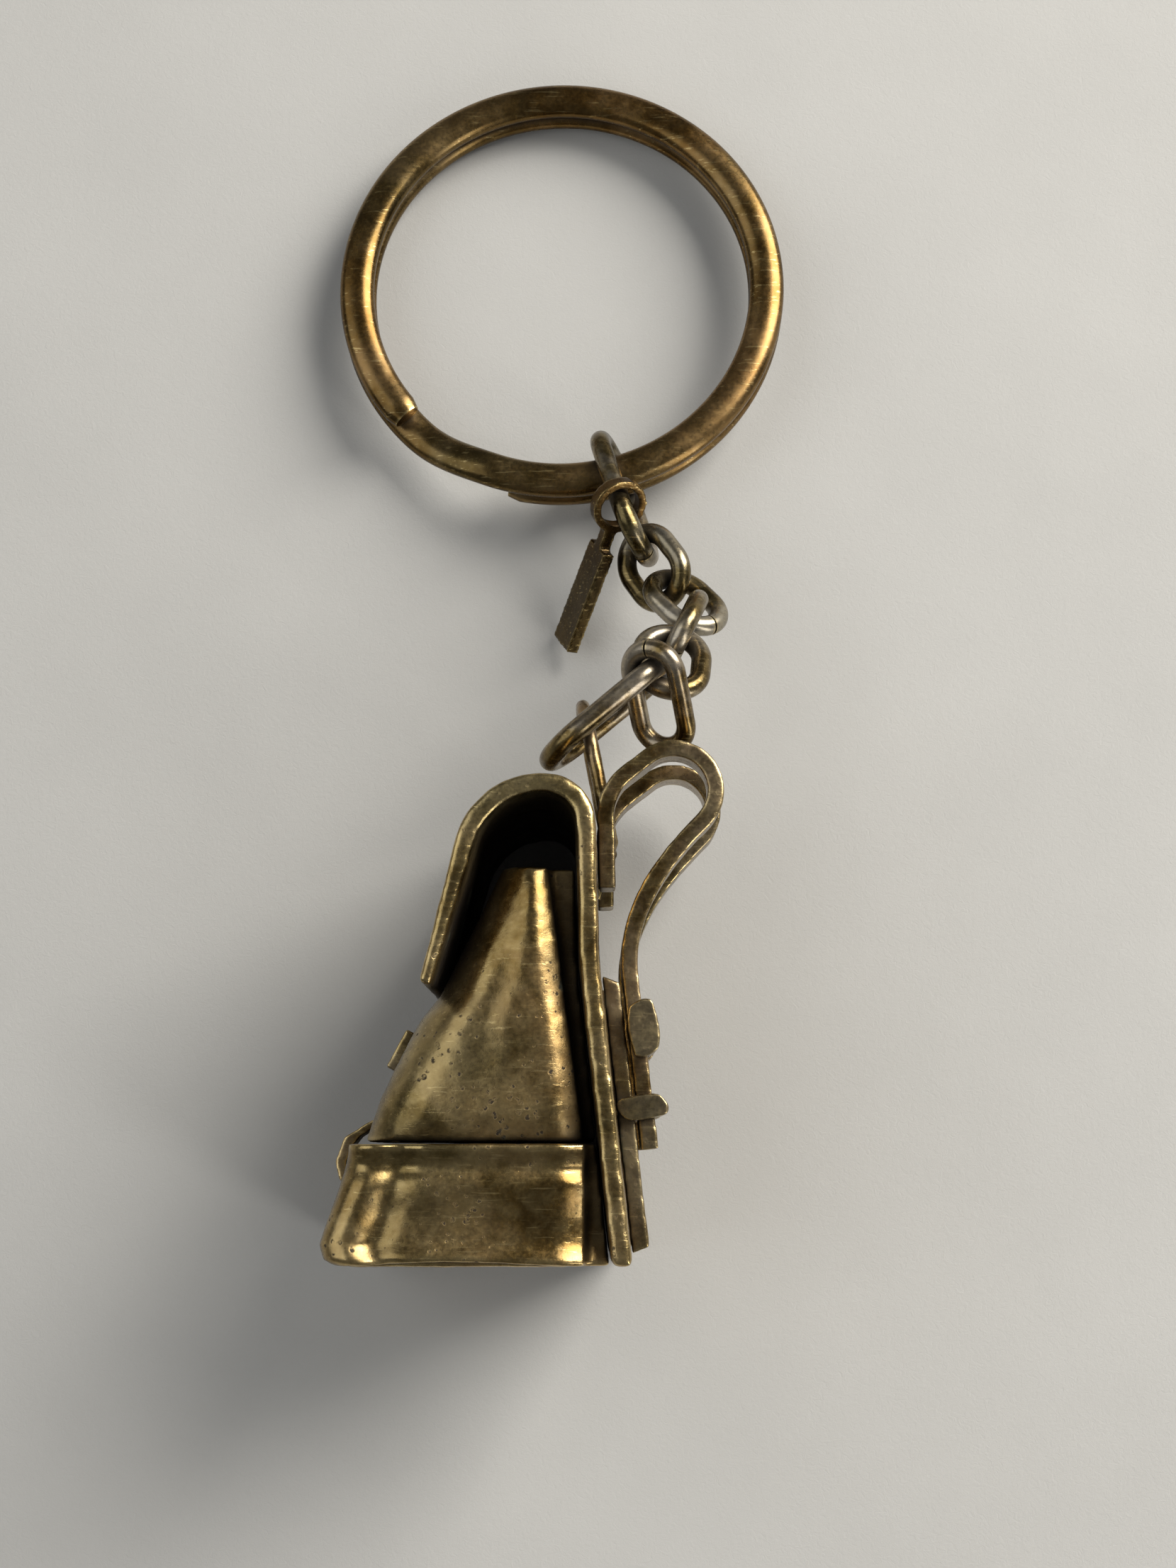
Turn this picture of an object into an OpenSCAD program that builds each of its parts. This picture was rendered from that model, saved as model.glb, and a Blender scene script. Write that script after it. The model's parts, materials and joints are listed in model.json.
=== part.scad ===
// Keychain: split ring, cable chain with a blank tag, and a small backpack charm.
// It lies on its side on a table: +Y runs from the charm's base to the ring, +Z is up.
// The charm is laid out from the outer foot of its back panel: x out of the back, y towards its top.

/* [Charm] */
// Width of the charm across its two sides
bag_w = 22; // [16:0.5:30]
// Thickness of the strip that makes the back panel and the flap
strip_t = 1.3; // [0.9:0.1:1.8]
// Height at which the back panel bends upright
back_bend_y = 17; // [14:0.5:20]
// Lean of the lower back panel
back_lean = 6.2; // [0:0.2:8]
// Lean of the upper back panel
top_lean = 1.5; // [0:0.5:3]
// Height at which the flap starts to curl over
curl_y = 25; // [23:0.5:30]
// Outer radius of the flap's tight curl at the back
curl_back_r = 3.1; // [2.6:0.1:4]
// Outer radius of the flap's wide curl at the front
curl_front_r = 5.3; // [4.8:0.1:7]
// Length of the flap's straight front leg
flap_leg = 8.4; // [5:0.2:10]
// Angle at which the flap's front leg stands off
flap_splay = 13.5; // [8:0.5:18]

/* [Body and boot] */
// Height of the body's top edge
body_top_y = 22.8; // [20:0.2:24]
// Height of the seam between the body and the boot
seam_y = 6.95; // [5:0.25:9]
// Wall of the body and the boot
wall = 0.9; // [0.6:0.1:1.2]
// Depth of the body at its top edge, measured from the back panel's foot
body_top_d = 7.7; // [7:0.1:9]
// Depth of the body at the seam
body_foot_d = 15.6; // [13:0.2:17]
// Depth of the boot at its foot
boot_d = 17.9; // [16:0.2:20]
// How far the body's side walls sit inside the strip's edges
body_inset = 0.9; // [0.5:0.1:1.5]
// How far the boot's side walls sit inside the strip's edges
boot_inset = 0.3; // [0.2:0.1:0.8]

/* [Straps] */
// Width of a strap
strap_w = 2.6; // [2:0.1:3.4]
// Thickness of a strap
strap_t = 1.1; // [0.8:0.1:1.3]
// Distance of each shoulder strap from the charm's middle
strap_offset = 5.4; // [5:0.1:6.5]
// Radius of the bow at the top of a shoulder strap
strap_bow_r = 2.5; // [2:0.1:3]
// How much further out the far strap bows
far_bow_extra = 0.5; // [0:0.1:0.8]
// Height of the buckles' middle along the back
buckle_y = 13.4; // [12:0.2:14.5]
// Distance from the buckles' middle down to the keepers' middle
keeper_drop = 4.5; // [3.2:0.1:5.5]

/* [Chain] */
// Wire of the small links
link_wire = 1.3; // [1.1:0.05:1.4]
// Length of a small link
link_len = 6.2; // [5.8:0.1:7.6]
// Width of a small link
link_w = 5.1; // [4.9:0.1:5.6]
// Wire of the large end links
end_wire = 1.35; // [1.1:0.05:1.45]
// Length of a large end link
end_len = 10.6; // [10:0.1:12]
// Width of a large end link
end_w = 6.2; // [6:0.1:7]
// Clearance between two hooked wires
hook_gap = 0.09; // [0.05:0.01:0.12]

/* [Split ring] */
// Outer diameter of the split ring
ring_d = 30; // [24:0.5:36]
// Radial width of the ring's wire
ring_wire_w = 2.35; // [2:0.05:2.5]
// Height of the ring's wire
ring_wire_h = 1.5; // [1.3:0.05:1.6]

/* [Tag] */
// Length of the tag
tag_len = 12.5; // [10:0.5:14]
// Width of the tag
tag_w = 2.4; // [2:0.2:6]
// Thickness of the tag
tag_t = 0.9; // [0.7:0.1:1.2]

/* [Hidden] */
$fn = 48;
mid_z = bag_w / 2;
fit = 0.05;          // play between a strap and the hardware round it
past = 1;            // how far a cutting shape runs past what it cuts

// ---- Paths and bands -------------------------------------------------------------------
function unit(v) = v / norm(v);
function arc(c, r, a0, a1, n = 16, first = 0) =
  [for (i = [first : n]) let (a = a0 + (a1 - a0) * i / n) c + r * [cos(a), sin(a)]];
function reversed(p) = [for (i = [len(p) - 1 : -1 : 0]) p[i]];
function heading(p, i) = unit(p[min(i + 1, len(p) - 1)] - p[max(i - 1, 0)]);
// the same path moved sideways, to the left of its direction
function beside(p, d) = [for (i = [0 : len(p) - 1]) p[i] + d * [-heading(p, i).y, heading(p, i).x]];
function between(p, q, s) = p + (q - p) * s;
function eased(p, corner, q, n) =
  [for (i = [0 : n]) between(between(p, corner, i / n), between(corner, q, i / n), i / n)];

module slab(z0, z1) {
  translate([0, 0, z0]) linear_extrude(z1 - z0) children();
}
module band(path, t) {
  polygon(concat(beside(path, t / 2), reversed(beside(path, -t / 2))));
}

// ---- Back panel and flap ---------------------------------------------------------------
flap_thin = 0.65;    // the flap's tip, as a share of the strip's thickness
back_bend = [-back_bend_y * tan(back_lean), back_bend_y];
curl_start = back_bend + (curl_y - back_bend_y) * [-tan(top_lean), 1];
back_curl_c = curl_start - [curl_back_r, 0];
front_curl_c = back_curl_c + [0, curl_back_r - curl_front_r];
flap_tip = front_curl_c + curl_front_r * [-cos(flap_splay), sin(flap_splay)]
  - flap_leg * [sin(flap_splay), cos(flap_splay)];
strip_outer = concat(
  [[0, 0], back_bend],
  arc(back_curl_c, curl_back_r, 0, 90),
  arc(front_curl_c, curl_front_r, 90, 180 - flap_splay, 22, 1),
  [flap_tip]);
strip_moved = beside(strip_outer, strip_t);
flap_inner_tip = between(flap_tip, strip_moved[len(strip_moved) - 1], flap_thin);
strip_inner = concat(
  [[-strip_t / cos(back_lean), 0]], [for (i = [1 : len(strip_moved) - 2]) strip_moved[i]], [flap_inner_tip]);
// inner face of the back panel at a height
function panel_inner(y) = y < strip_inner[1].y
  ? between(strip_inner[0], strip_inner[1], y / strip_inner[1].y)
  : between(strip_inner[1], strip_inner[2], (y - strip_inner[1].y) / (strip_inner[2].y - strip_inner[1].y));
// a point on the outside of the back panel: out is its distance from the face, up the height along it
function on_back(out, up) = up < back_bend_y / cos(back_lean)
  ? up * [-sin(back_lean), cos(back_lean)] + out * [cos(back_lean), sin(back_lean)]
  : back_bend + (up - back_bend_y / cos(back_lean)) * [-sin(top_lean), cos(top_lean)]
    + out * [cos(top_lean), sin(top_lean)];
module along_back(up) {
  p = on_back(0, up);
  translate([p.x, p.y, 0]) rotate([0, 0, back_lean]) children();
}

module back_and_flap() {
  color("darkgoldenrod")
    slab(0, bag_w) polygon(concat(strip_outer, reversed(strip_inner)));
}

// ---- Body ------------------------------------------------------------------------------
body_back = [[-2.75, seam_y], [-4.9, body_top_y]];   // the folded edge beside the back panel
neck = flap_inner_tip + [0.1, -0.25];
shoulder = neck + [-1, -1.2];
body_foot = [-body_foot_d, seam_y];
belly = 0.35;        // how far the front bulges below its shoulder
body_front = concat(
  [[-body_top_d, body_top_y], neck],
  [for (i = [0 : 5]) between(shoulder, body_foot, i / 5) + belly * sin(180 * i / 5) * [-1, -0.5]]);
body_z0 = body_inset;
body_z1 = bag_w - body_inset;
spine_in = 1.5;      // how much deeper the webs to the back panel lie
module body_outline() {
  polygon(concat(body_front, body_back));
}
module body_cavity() {
  cut = [for (p = body_front) p + [wall * 1.15, 0]];
  last = len(cut) - 1;
  polygon(concat(
    [[cut[0].x, body_top_y + past]], cut,
    [[cut[last].x, seam_y - past], body_back[0] - [wall, past], body_back[0] - [wall, 0],
     body_back[1] - [wall, 0], body_back[1] + [-wall, past]]));
}
module body_web() {
  polygon([body_back[0], panel_inner(seam_y), strip_inner[1], panel_inner(body_top_y), body_back[1]]);
}
module bag_body() {
  color("goldenrod") {
    difference() {
      slab(body_z0, body_z1) body_outline();
      slab(body_z0 + wall, body_z1 - wall) body_cavity();
      translate([body_back[1].x - wall - past, seam_y - past, body_z0 + spine_in + wall])
        cube([body_back[0].x - body_back[1].x + wall + 2 * past, body_top_y,
              body_z1 - body_z0 - 2 * (spine_in + wall)]);
    }
    slab(body_z0 + spine_in, body_z0 + spine_in + wall) body_web();
    slab(body_z1 - spine_in - wall, body_z1 - spine_in) body_web();
  }
}

// ---- Boot ------------------------------------------------------------------------------
boot_back_x = -2.7;
boot_front = [
  [-body_foot_d - 0.45, seam_y], [-boot_d + 1.1, 0.62 * seam_y], [-boot_d, 1.3],
  [-boot_d + 0.3, 0.35], [-boot_d + 1, 0]];
boot_z0 = boot_inset;
boot_z1 = bag_w - boot_inset;
bead_h = 0.45;       // height of the raised seam
bead_out = 0.2;      // how far it stands proud
plate_t = 0.8;
module boot_cavity() {
  cut = [for (p = boot_front) p + [wall, 0]];
  polygon(concat(
    [[cut[0].x, seam_y + past]], cut,
    [[cut[4].x, -past], [boot_back_x - wall, -past], [boot_back_x - wall, seam_y + past]]));
}
module boot() {
  color("goldenrod") difference() {
    union() {
      slab(boot_z0, boot_z1)
        polygon(concat(boot_front, [[boot_back_x, 0], [boot_back_x, seam_y]]));
      slab(boot_z0 - bead_out, boot_z1 + bead_out)
        polygon([
          boot_front[0] - [bead_out, 0], boot_front[0] - [bead_out, bead_h],
          [boot_back_x, seam_y - bead_h], [boot_back_x, seam_y]]);
      slab(boot_z0 + wall, boot_z1 - wall)
        polygon([[boot_back_x, 0], strip_inner[0], panel_inner(seam_y), [boot_back_x, seam_y]]);
    }
    slab(boot_z0 + wall, boot_z1 - wall) boot_cavity();
  }
}
module base_plate() {
  color("darkgoldenrod")
    slab(boot_z0 + wall, boot_z1 - wall) intersection() {
      boot_cavity();
      translate([-2 * boot_d, 0]) square([2 * boot_d, plate_t]);
    }
}

// ---- Haul loop -------------------------------------------------------------------------
loop_wire = 1;
loop_r = 3;
loop_leg = 6;
loop_lean = 11;
loop_foot = [-1.2, 25];
foot_len = 3;        // soldered end of each leg
foot_lean = -20;     // it turns in to meet the back panel
loop_dir = [-sin(loop_lean), cos(loop_lean)];
function on_loop(s, z) = [loop_foot.x + s * loop_dir.x, loop_foot.y + s * loop_dir.y, z];
module haul_loop() {
  color("peru") difference() {
    translate(on_loop(0, mid_z)) rotate([0, 0, loop_lean]) {
      for (side = [-1, 1]) translate([0, 0, side * loop_r]) {
        rotate([-90, 0, 0]) cylinder(d = loop_wire, h = loop_leg);
        sphere(d = loop_wire * 1.04);
        rotate([0, 0, foot_lean - loop_lean]) rotate([90, 0, 0]) cylinder(d = loop_wire, h = foot_len);
      }
      translate([0, loop_leg, 0]) rotate([0, -90, 0])
        rotate_extrude(angle = 180) translate([loop_r, 0]) circle(d = loop_wire);
    }
    translate([0, 0, -past]) linear_extrude(bag_w + 2 * past)
      polygon(concat(strip_outer, reversed(strip_inner)));
  }
}

// ---- Shoulder straps -------------------------------------------------------------------
// centreline of a shoulder strap: up the back, over in a bow, down over the lower strap
strap_anchor_up = 21.8;
strap_rise_up = 26.2;
rise_r = 3.2;
rise_turn = 52;
tail_up = 6.4;
function strap_path(extra) = let (
    layer1 = strap_t / 2,
    layer2 = strap_t * 1.5 + fit,
    rise = on_back(layer1, strap_rise_up),
    c1 = rise + [rise_r, 0],
    p1 = c1 + rise_r * [-cos(rise_turn), sin(rise_turn)],
    run = (1.6 + extra) * [sin(rise_turn), cos(rise_turn)],
    c2 = p1 + run + strap_bow_r * [cos(rise_turn), -sin(rise_turn)],
    // the fall from the bow to the back panel leaves the bow at 45 degrees and eases in
    fall = c2 + strap_bow_r * [cos(45), -sin(45)])
  concat(
    [on_back(layer1, strap_anchor_up)],
    arc(c1, rise_r, 180, 180 - rise_turn, 10),
    arc(c2, strap_bow_r, 180 - rise_turn, -45, 30),
    eased(fall + [-0.5, -0.5], on_back(layer2, 21.2), on_back(layer2, 17.4), 12),
    [for (up = [16.5, 12, tail_up]) on_back(layer2, up)]);
module shoulder_strap(z, extra) {
  color("darkgoldenrod")
    slab(z - strap_w / 2, z + strap_w / 2) band(strap_path(extra), strap_t);
}
module near_shoulder_strap() { shoulder_strap(mid_z + strap_offset, 0); }
module far_shoulder_strap() { shoulder_strap(mid_z - strap_offset, far_bow_extra); }

module lower_strap(z) {
  color("darkgoldenrod")
    slab(z - strap_w / 2, z + strap_w / 2)
      polygon([on_back(0, 0.6), on_back(strap_t, 0.9), on_back(strap_t, 16.2), on_back(0, 16.8)]);
}
module near_lower_strap() { lower_strap(mid_z + strap_offset); }
module far_lower_strap() { lower_strap(mid_z - strap_offset); }

// ---- Buckles and keepers ---------------------------------------------------------------
bar = 0.75;          // thickness of the buckles' and keepers' metal
buckle_h = 3.4;
keeper_h = 1.5;
strap_slot = strap_w + 2 * fit;
stack = 2 * strap_t + 2 * fit;
module buckle(z) {
  color("olive") along_back(buckle_y) {
    for (side = [-1, 1])
      translate([strap_t + fit, -buckle_h / 2, z + side * (strap_slot + bar) / 2 - bar / 2])
        cube([stack - strap_t - fit + bar, buckle_h, bar]);
    for (end = [-1, 1])
      translate([stack, end * (buckle_h - bar) / 2 - bar / 2, z - strap_slot / 2])
        cube([bar, bar, strap_slot]);
  }
}
module near_buckle() { buckle(mid_z + strap_offset); }
module far_buckle() { buckle(mid_z - strap_offset); }

keeper_y = buckle_y - keeper_drop;
module keeper(z) {
  color("olive") along_back(keeper_y) {
    for (side = [-1, 1])
      translate([0, -keeper_h / 2, z + side * (strap_slot + bar) / 2 - bar / 2])
        cube([stack + bar, keeper_h, bar]);
    translate([stack, -keeper_h / 2, z - strap_slot / 2]) cube([bar, keeper_h, strap_slot]);
  }
}
module near_keeper() { keeper(mid_z + strap_offset); }
module far_keeper() { keeper(mid_z - strap_offset); }

// ---- Front closure ---------------------------------------------------------------------
closure_w = 3;
closure_t = 0.8;
closure_top = 2;     // which point of the body's front the strap starts at
closure_path = concat(
  [for (i = [closure_top : len(body_front) - 2]) beside(body_front, -closure_t / 2 - fit)[i]],
  [body_foot + [-0.55, 1.1], body_foot + [-1.35, 0.1], body_foot + [-1.8, -1.1], body_foot + [-1.5, -2.2]]);
module closure_strap() {
  color("darkgoldenrod")
    slab(mid_z - closure_w / 2, mid_z + closure_w / 2) band(closure_path, closure_t);
}
module closure_buckle() {
  at = between(closure_path[1], closure_path[2], 0.5);
  lean = heading(closure_path, 1);
  turn = atan2(lean.y, lean.x);
  size = 2.6;
  color("olive") translate([at.x, at.y, 0]) rotate([0, 0, turn])
    for (side = [-1, 1]) {
      translate([-size / 2, -closure_t / 2 - bar, mid_z + side * (closure_w + 2 * fit + bar) / 2 - bar / 2])
        cube([size, closure_t + bar, bar]);
      translate([side * (size - bar) / 2 - bar / 2, -closure_t / 2 - fit - bar, mid_z - closure_w / 2 - fit])
        cube([bar, bar, closure_w + 2 * fit]);
    }
}

// ---- Chain -----------------------------------------------------------------------------
// A link's size is [length, width, wire]. Its long axis is x, and its plane is z = 0.
small = [link_len, link_w, link_wire];
large = [end_len, end_w, end_wire];
spare = [link_len + 1.4, link_w - 0.7, link_wire - 0.1];
function half(s) = (s[0] - s[1]) / 2;
function bow_r(s) = (s[1] - s[2]) / 2;
function frame(o, x, y) = let (z = cross(x, y))
  [[x.x, y.x, z.x, o.x], [x.y, y.y, z.y, o.y], [x.z, y.z, z.z, o.z], [0, 0, 0, 1]];
function place(f, p) = let (q = f * [p.x, p.y, p.z, 1]) [q.x, q.y, q.z];
function aim(f, v) = let (q = f * [v.x, v.y, v.z, 0]) [q.x, q.y, q.z];
turned_round = frame([0, 0, 0], [-1, 0, 0], [0, -1, 0]);
// Where a wire is hooked: at is the angle round the link's bow. These give the wire's
// middle and its direction there.
function wire_at(s, at) = [half(s) + bow_r(s) * cos(at), bow_r(s) * sin(at), 0];
function wire_way(at) = [-sin(at), cos(at), 0];
// The frame of a link c that hooks the bow of link p. h is [at, swing, twist, seat]: the place
// on p's bow, the turn about p's wire, how far the wires cross off square, and the place on
// c's own bow.
function pull(h) = [cos(h[0]) * cos(h[1]), sin(h[0]) * cos(h[1]), sin(h[1])];
function hooked(p, c, h) = let (
    out = pull(h),
    run = cross(out, wire_way(h[0])) * cos(h[2]) + wire_way(h[0]) * sin(h[2]),
    x = out * cos(h[3]) + run * sin(h[3]),
    y = run * cos(h[3]) - out * sin(h[3]),
    touch = wire_at(p, h[0]) - out * ((p[2] + c[2]) / 2 + hook_gap))
  frame(touch + (half(c) + bow_r(c) * cos(h[3])) * x - bow_r(c) * sin(h[3]) * y, x, y);

// how each piece hangs on the one before it
bag_link_turn = 40;  // direction of the bag link, seen from above
bag_link_slide = 1.6;
hook_4 = [-18.4, 32.6, 20.8, -70.6];
hook_3 = [10.8, 22.4, 171.9, 8.7];
hook_2 = [2.3, -26.5, -176.6, 30.3];
hook_1 = [-2.7, 7.3, -14.4, 0.8];
hook_ring_link = [15.2, 2, -28.2, 15.2];
hook_spare = [59, 104.6, 15.5, 24];
hook_tag = [90, 131.9, 20.2, 0.29];
loop_cross = on_loop(loop_leg + 1.3, 0);
bag_link_way = [cos(bag_link_turn), sin(bag_link_turn), 0];
bag_link_z = mid_z + loop_r + (loop_wire + end_wire) / 2 + hook_gap - bow_r(large);
bag_link_at = frame(
  [loop_cross.x, loop_cross.y, bag_link_z] + bag_link_slide * bag_link_way, bag_link_way, [0, 0, 1]);
link_4_at = bag_link_at * hooked(large, small, hook_4);
link_3_at = link_4_at * hooked(small, small, hook_3);
link_2_at = link_3_at * hooked(small, small, hook_2);
link_1_at = link_2_at * hooked(small, small, hook_1);
ring_link_at = link_1_at * hooked(small, large, hook_ring_link);
spare_link_at = bag_link_at * hooked(large, spare, hook_spare);

module link(s) {
  h = half(s);
  r = bow_r(s);
  for (end = [0, 180]) rotate([0, 0, end]) translate([h, 0, 0])
    rotate_extrude(angle = 180, start = -90) translate([r, 0]) circle(d = s[2]);
  for (side = [-1, 1]) translate([-h, side * r, 0]) rotate([0, 90, 0]) cylinder(d = s[2], h = 2 * h);
}
module bag_link() { color("peru") multmatrix(bag_link_at) link(large); }
module chain_link_4() { color("silver") multmatrix(link_4_at) link(small); }
module chain_link_3() { color("silver") multmatrix(link_3_at) link(small); }
module chain_link_2() { color("peru") multmatrix(link_2_at) link(small); }
module chain_link_1() { color("peru") multmatrix(link_1_at) link(small); }
module ring_link() { color("peru") multmatrix(ring_link_at) link(large); }
module spare_link() { color("sienna") multmatrix(spare_link_at) link(spare); }

// ---- Tag -------------------------------------------------------------------------------
// A flat strip with an eye at its top. The eye's axis runs across the strip's width.
tag_hole = end_wire + 1.25;
tag_rim = 0.6;       // metal round the eye's hole
tag_eye_t = 0.9;     // thickness of the eye
tag_neck = 1.2;      // length of the narrow part below the eye
tag_play = 0.3;      // gap between the eye's rim and the link's wire
tag_parent = ring_link_at * turned_round;
tag_way = aim(tag_parent, pull(hook_tag));
tag_wire_way = aim(tag_parent, wire_way(hook_tag[0]));
tag_out = tag_way * cos(hook_tag[2]) - tag_wire_way * sin(hook_tag[2]);
tag_at = frame(
  place(tag_parent, wire_at(large, hook_tag[0]) - [hook_tag[3], 0, 0])
    + tag_out * ((tag_hole - end_wire) / 2 - tag_play),
  tag_out, cross(tag_wire_way, tag_way));
module blank_tag() {
  eye_r = tag_hole / 2 + tag_rim;
  foot = eye_r + tag_neck;
  color("saddlebrown") multmatrix(tag_at) difference() {
    union() {
      translate([0, 0, -tag_eye_t / 2]) cylinder(r = eye_r, h = tag_eye_t);
      translate([tag_hole / 2, -tag_t / 2, -tag_eye_t / 2]) cube([foot, tag_t, tag_eye_t]);
      translate([foot, -tag_t / 2, -tag_w / 2]) cube([tag_len - foot - eye_r, tag_t, tag_w]);
    }
    translate([0, 0, -past]) cylinder(d = tag_hole, h = 2 * past);
  }
}

// ---- Split ring ------------------------------------------------------------------------
// The ring passes through the ring link's bow, and its far side rests on the table.
ring_r = (ring_d - ring_wire_w) / 2;
ring_turn = 105.5;     // direction from the link to the ring's middle, seen from above
ring_seat = 0.85;    // play between the ring's wire and the link's bow
ring_pass = place(ring_link_at, [half(large) + bow_r(large) - end_wire / 2 - ring_seat - ring_wire_w / 2, 0, 0]);
ring_dip = asin((ring_pass.z - ring_wire_h) / (ring_r + ring_d / 2));
ring_out = [cos(ring_turn) * cos(ring_dip), sin(ring_turn) * cos(ring_dip), -sin(ring_dip)];
ring_at = frame(ring_pass + ring_r * ring_out, ring_out, [-sin(ring_turn), cos(ring_turn), 0]);
upper_end = 222 - ring_turn;   // where the upper turn is cut
step_foot = upper_end + 4;
step_top = step_foot + 24;
lower_end = step_top + 6;
step_mid = (step_top + step_foot) / 2;
step_rise = asin(ring_wire_h / 2 / (ring_r * sin((step_top - step_foot) / 2)));
turn_z = ring_wire_h / 2 - 0.01;
module ring_wire(from, angle) {
  core = ring_wire_w - ring_wire_h;
  rotate_extrude(angle = angle, start = from, $fn = 96) translate([ring_r, 0]) {
    for (side = [-1, 1]) translate([side * core / 2, 0]) circle(d = ring_wire_h, $fn = 32);
    square([core, ring_wire_h], center = true);
  }
}
module split_ring() {
  color("darkgoldenrod") multmatrix(ring_at) {
    translate([0, 0, turn_z]) ring_wire(step_top, 360 + upper_end - step_top);
    translate([0, 0, -turn_z]) ring_wire(lower_end, 360 + step_foot - lower_end);
    rotate([0, 0, step_mid]) translate([ring_r, 0, 0]) rotate([step_rise, 0, 0])
      translate([-ring_r, 0, 0]) ring_wire(-13, 26);
  }
}

// ---- Whole keychain --------------------------------------------------------------------
// The origin is under the middle of the keychain's outline.
ring_middle = place(ring_at, [0, 0, 0]);
total_len = ring_middle.y + ring_d / 2 * cos(ring_dip);
module laid_out() { translate([-ring_middle.x, -total_len / 2, 0]) children(); }

laid_out() split_ring();
laid_out() ring_link();
laid_out() chain_link_1();
laid_out() chain_link_2();
laid_out() chain_link_3();
laid_out() chain_link_4();
laid_out() bag_link();
laid_out() spare_link();
laid_out() blank_tag();
laid_out() back_and_flap();
laid_out() bag_body();
laid_out() boot();
laid_out() base_plate();
laid_out() haul_loop();
laid_out() near_shoulder_strap();
laid_out() far_shoulder_strap();
laid_out() near_lower_strap();
laid_out() far_lower_strap();
laid_out() near_buckle();
laid_out() far_buckle();
laid_out() near_keeper();
laid_out() far_keeper();
laid_out() closure_strap();
laid_out() closure_buckle();
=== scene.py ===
"""Backpack keychain: split ring, cable chain with a blank tag, and a brass backpack charm."""

import json
import math

import bmesh
import bpy
import numpy as np
from bpy.props import FloatProperty, FloatVectorProperty, IntProperty, PointerProperty
from bpy.types import Operator, Panel, PropertyGroup
from mathutils import Euler, Matrix, Vector, noise as solid_noise


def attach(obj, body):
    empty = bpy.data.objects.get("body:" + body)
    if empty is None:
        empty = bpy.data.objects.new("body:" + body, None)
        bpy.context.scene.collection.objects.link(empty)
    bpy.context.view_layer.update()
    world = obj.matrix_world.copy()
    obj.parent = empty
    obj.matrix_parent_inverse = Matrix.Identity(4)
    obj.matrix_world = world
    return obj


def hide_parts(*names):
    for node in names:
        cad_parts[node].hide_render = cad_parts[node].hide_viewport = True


bl_info = {
    "name": "Backpack Keychain",
    "version": (1, 0, 0),
    "blender": (4, 5, 0),
    "location": "3D View > Sidebar > Keychain",
    "description": "Adds an antique brass backpack charm on a cable chain and split ring",
    "category": "Add Mesh",
}

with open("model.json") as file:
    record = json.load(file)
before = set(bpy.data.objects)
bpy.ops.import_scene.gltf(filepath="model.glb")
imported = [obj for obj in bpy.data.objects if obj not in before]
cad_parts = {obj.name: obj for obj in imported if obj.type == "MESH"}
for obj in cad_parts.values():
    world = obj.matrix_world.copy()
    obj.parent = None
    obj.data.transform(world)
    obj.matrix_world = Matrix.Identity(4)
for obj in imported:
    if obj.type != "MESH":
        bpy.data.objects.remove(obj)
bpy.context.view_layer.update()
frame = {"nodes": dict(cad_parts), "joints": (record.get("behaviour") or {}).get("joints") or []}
JOINTS = {j["name"]: j for j in frame["joints"]}
MM = 0.001

CHARM_BODY = "backpack_charm"
STRAP_NODES = ("near_shoulder_strap", "far_shoulder_strap", "near_lower_strap", "far_lower_strap",
               "closure_strap")
BUCKLE_NODES = (
    "near_buckle", "far_buckle", "near_keeper", "far_keeper", "closure_buckle")
SMALL_LINKS = ("chain_link_1", "chain_link_2", "chain_link_3", "chain_link_4")
LARGE_LINKS = ("ring_link", "bag_link")

# How fine each pattern of the patina is: larger numbers give smaller marks.
BROAD, CLOUDS, STREAKS, MOTTLE, PITTING, GRAIN = 80, 190, 420, 900, 1900, 4200

# Channels and rolls in the charm's sides, in metres: how deep, how far from the edge that they
# follow, and how wide.
BODY_BACK_GROOVE = (0.0005, 0.0, 0.0009)
BODY_TOP_ROLL = (0.0003, 0.0, 0.0013)
BODY_FOOT_ROLL = (0.00038, 0.0, 0.0012)
BODY_CREASE = (0.00028, 0.0, 0.0009)
BOOT_BACK_GROOVE = (0.0004, 0.0, 0.0010)
BOOT_FRONT_GROOVE = (0.00032, 0.0032, 0.0009)
BOOT_FOOT_GROOVE = (0.00012, 0.0012, 0.0006)
BOOT_SEAM_GROOVE = (0.00034, 0.0014, 0.0006)
BOOT_SEAM_ROLL = (0.00008, 0.0003, 0.0004)
BOOT_FOOT_HOLLOW = (0.00045, 0.0024, 0.0016)
BOOT_FOOT_RISE = (0.00028, 0.007, 0.005)
BOOT_RISE_HEIGHT = 0.0013
BOOT_HOLLOW_EASE = 0.004

# The body's side falls towards the back panel from this share of its depth on.
BODY_BACK_FALL, BODY_FALL_FROM, BODY_FALL_POWER = 0.0010, 0.38, 1.7
BODY_CREASE_PLACE = 0.52
BODY_DENTS, BOOT_DENTS, DENT_SCALE = 0.00014, 0.00008, 260
MOST_DROP = 0.5
UPPER_SIDE = 0.93
SAME_PLACE = 1e-5

# How far the front closure sits in the body, and the height over which it eases in, in metres.
CLOSURE_DEPTH, CLOSURE_FREE_TAIL, CLOSURE_EASE = 0.0009, 0.0004, 0.0012

# The ring's wire starts, steps up and ends at these angles past the cut in its upper turn.
RING_START, RING_STEP_FROM, RING_STEP_TO = 34, 4, 28
RING_ROWS = 420
RING_LAP, RING_INSET = 0.00001, 0.00003
RING_END_SIZE, RING_END_GROWTH = 0.82, 0.18

# A link's own axes are searched for in steps of this many degrees either way.
TURN_STEPS, TURN_STEP = 300, 0.1

PAPER_HALF, PAPER_DEPTH = 0.6, 2e-5


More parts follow.
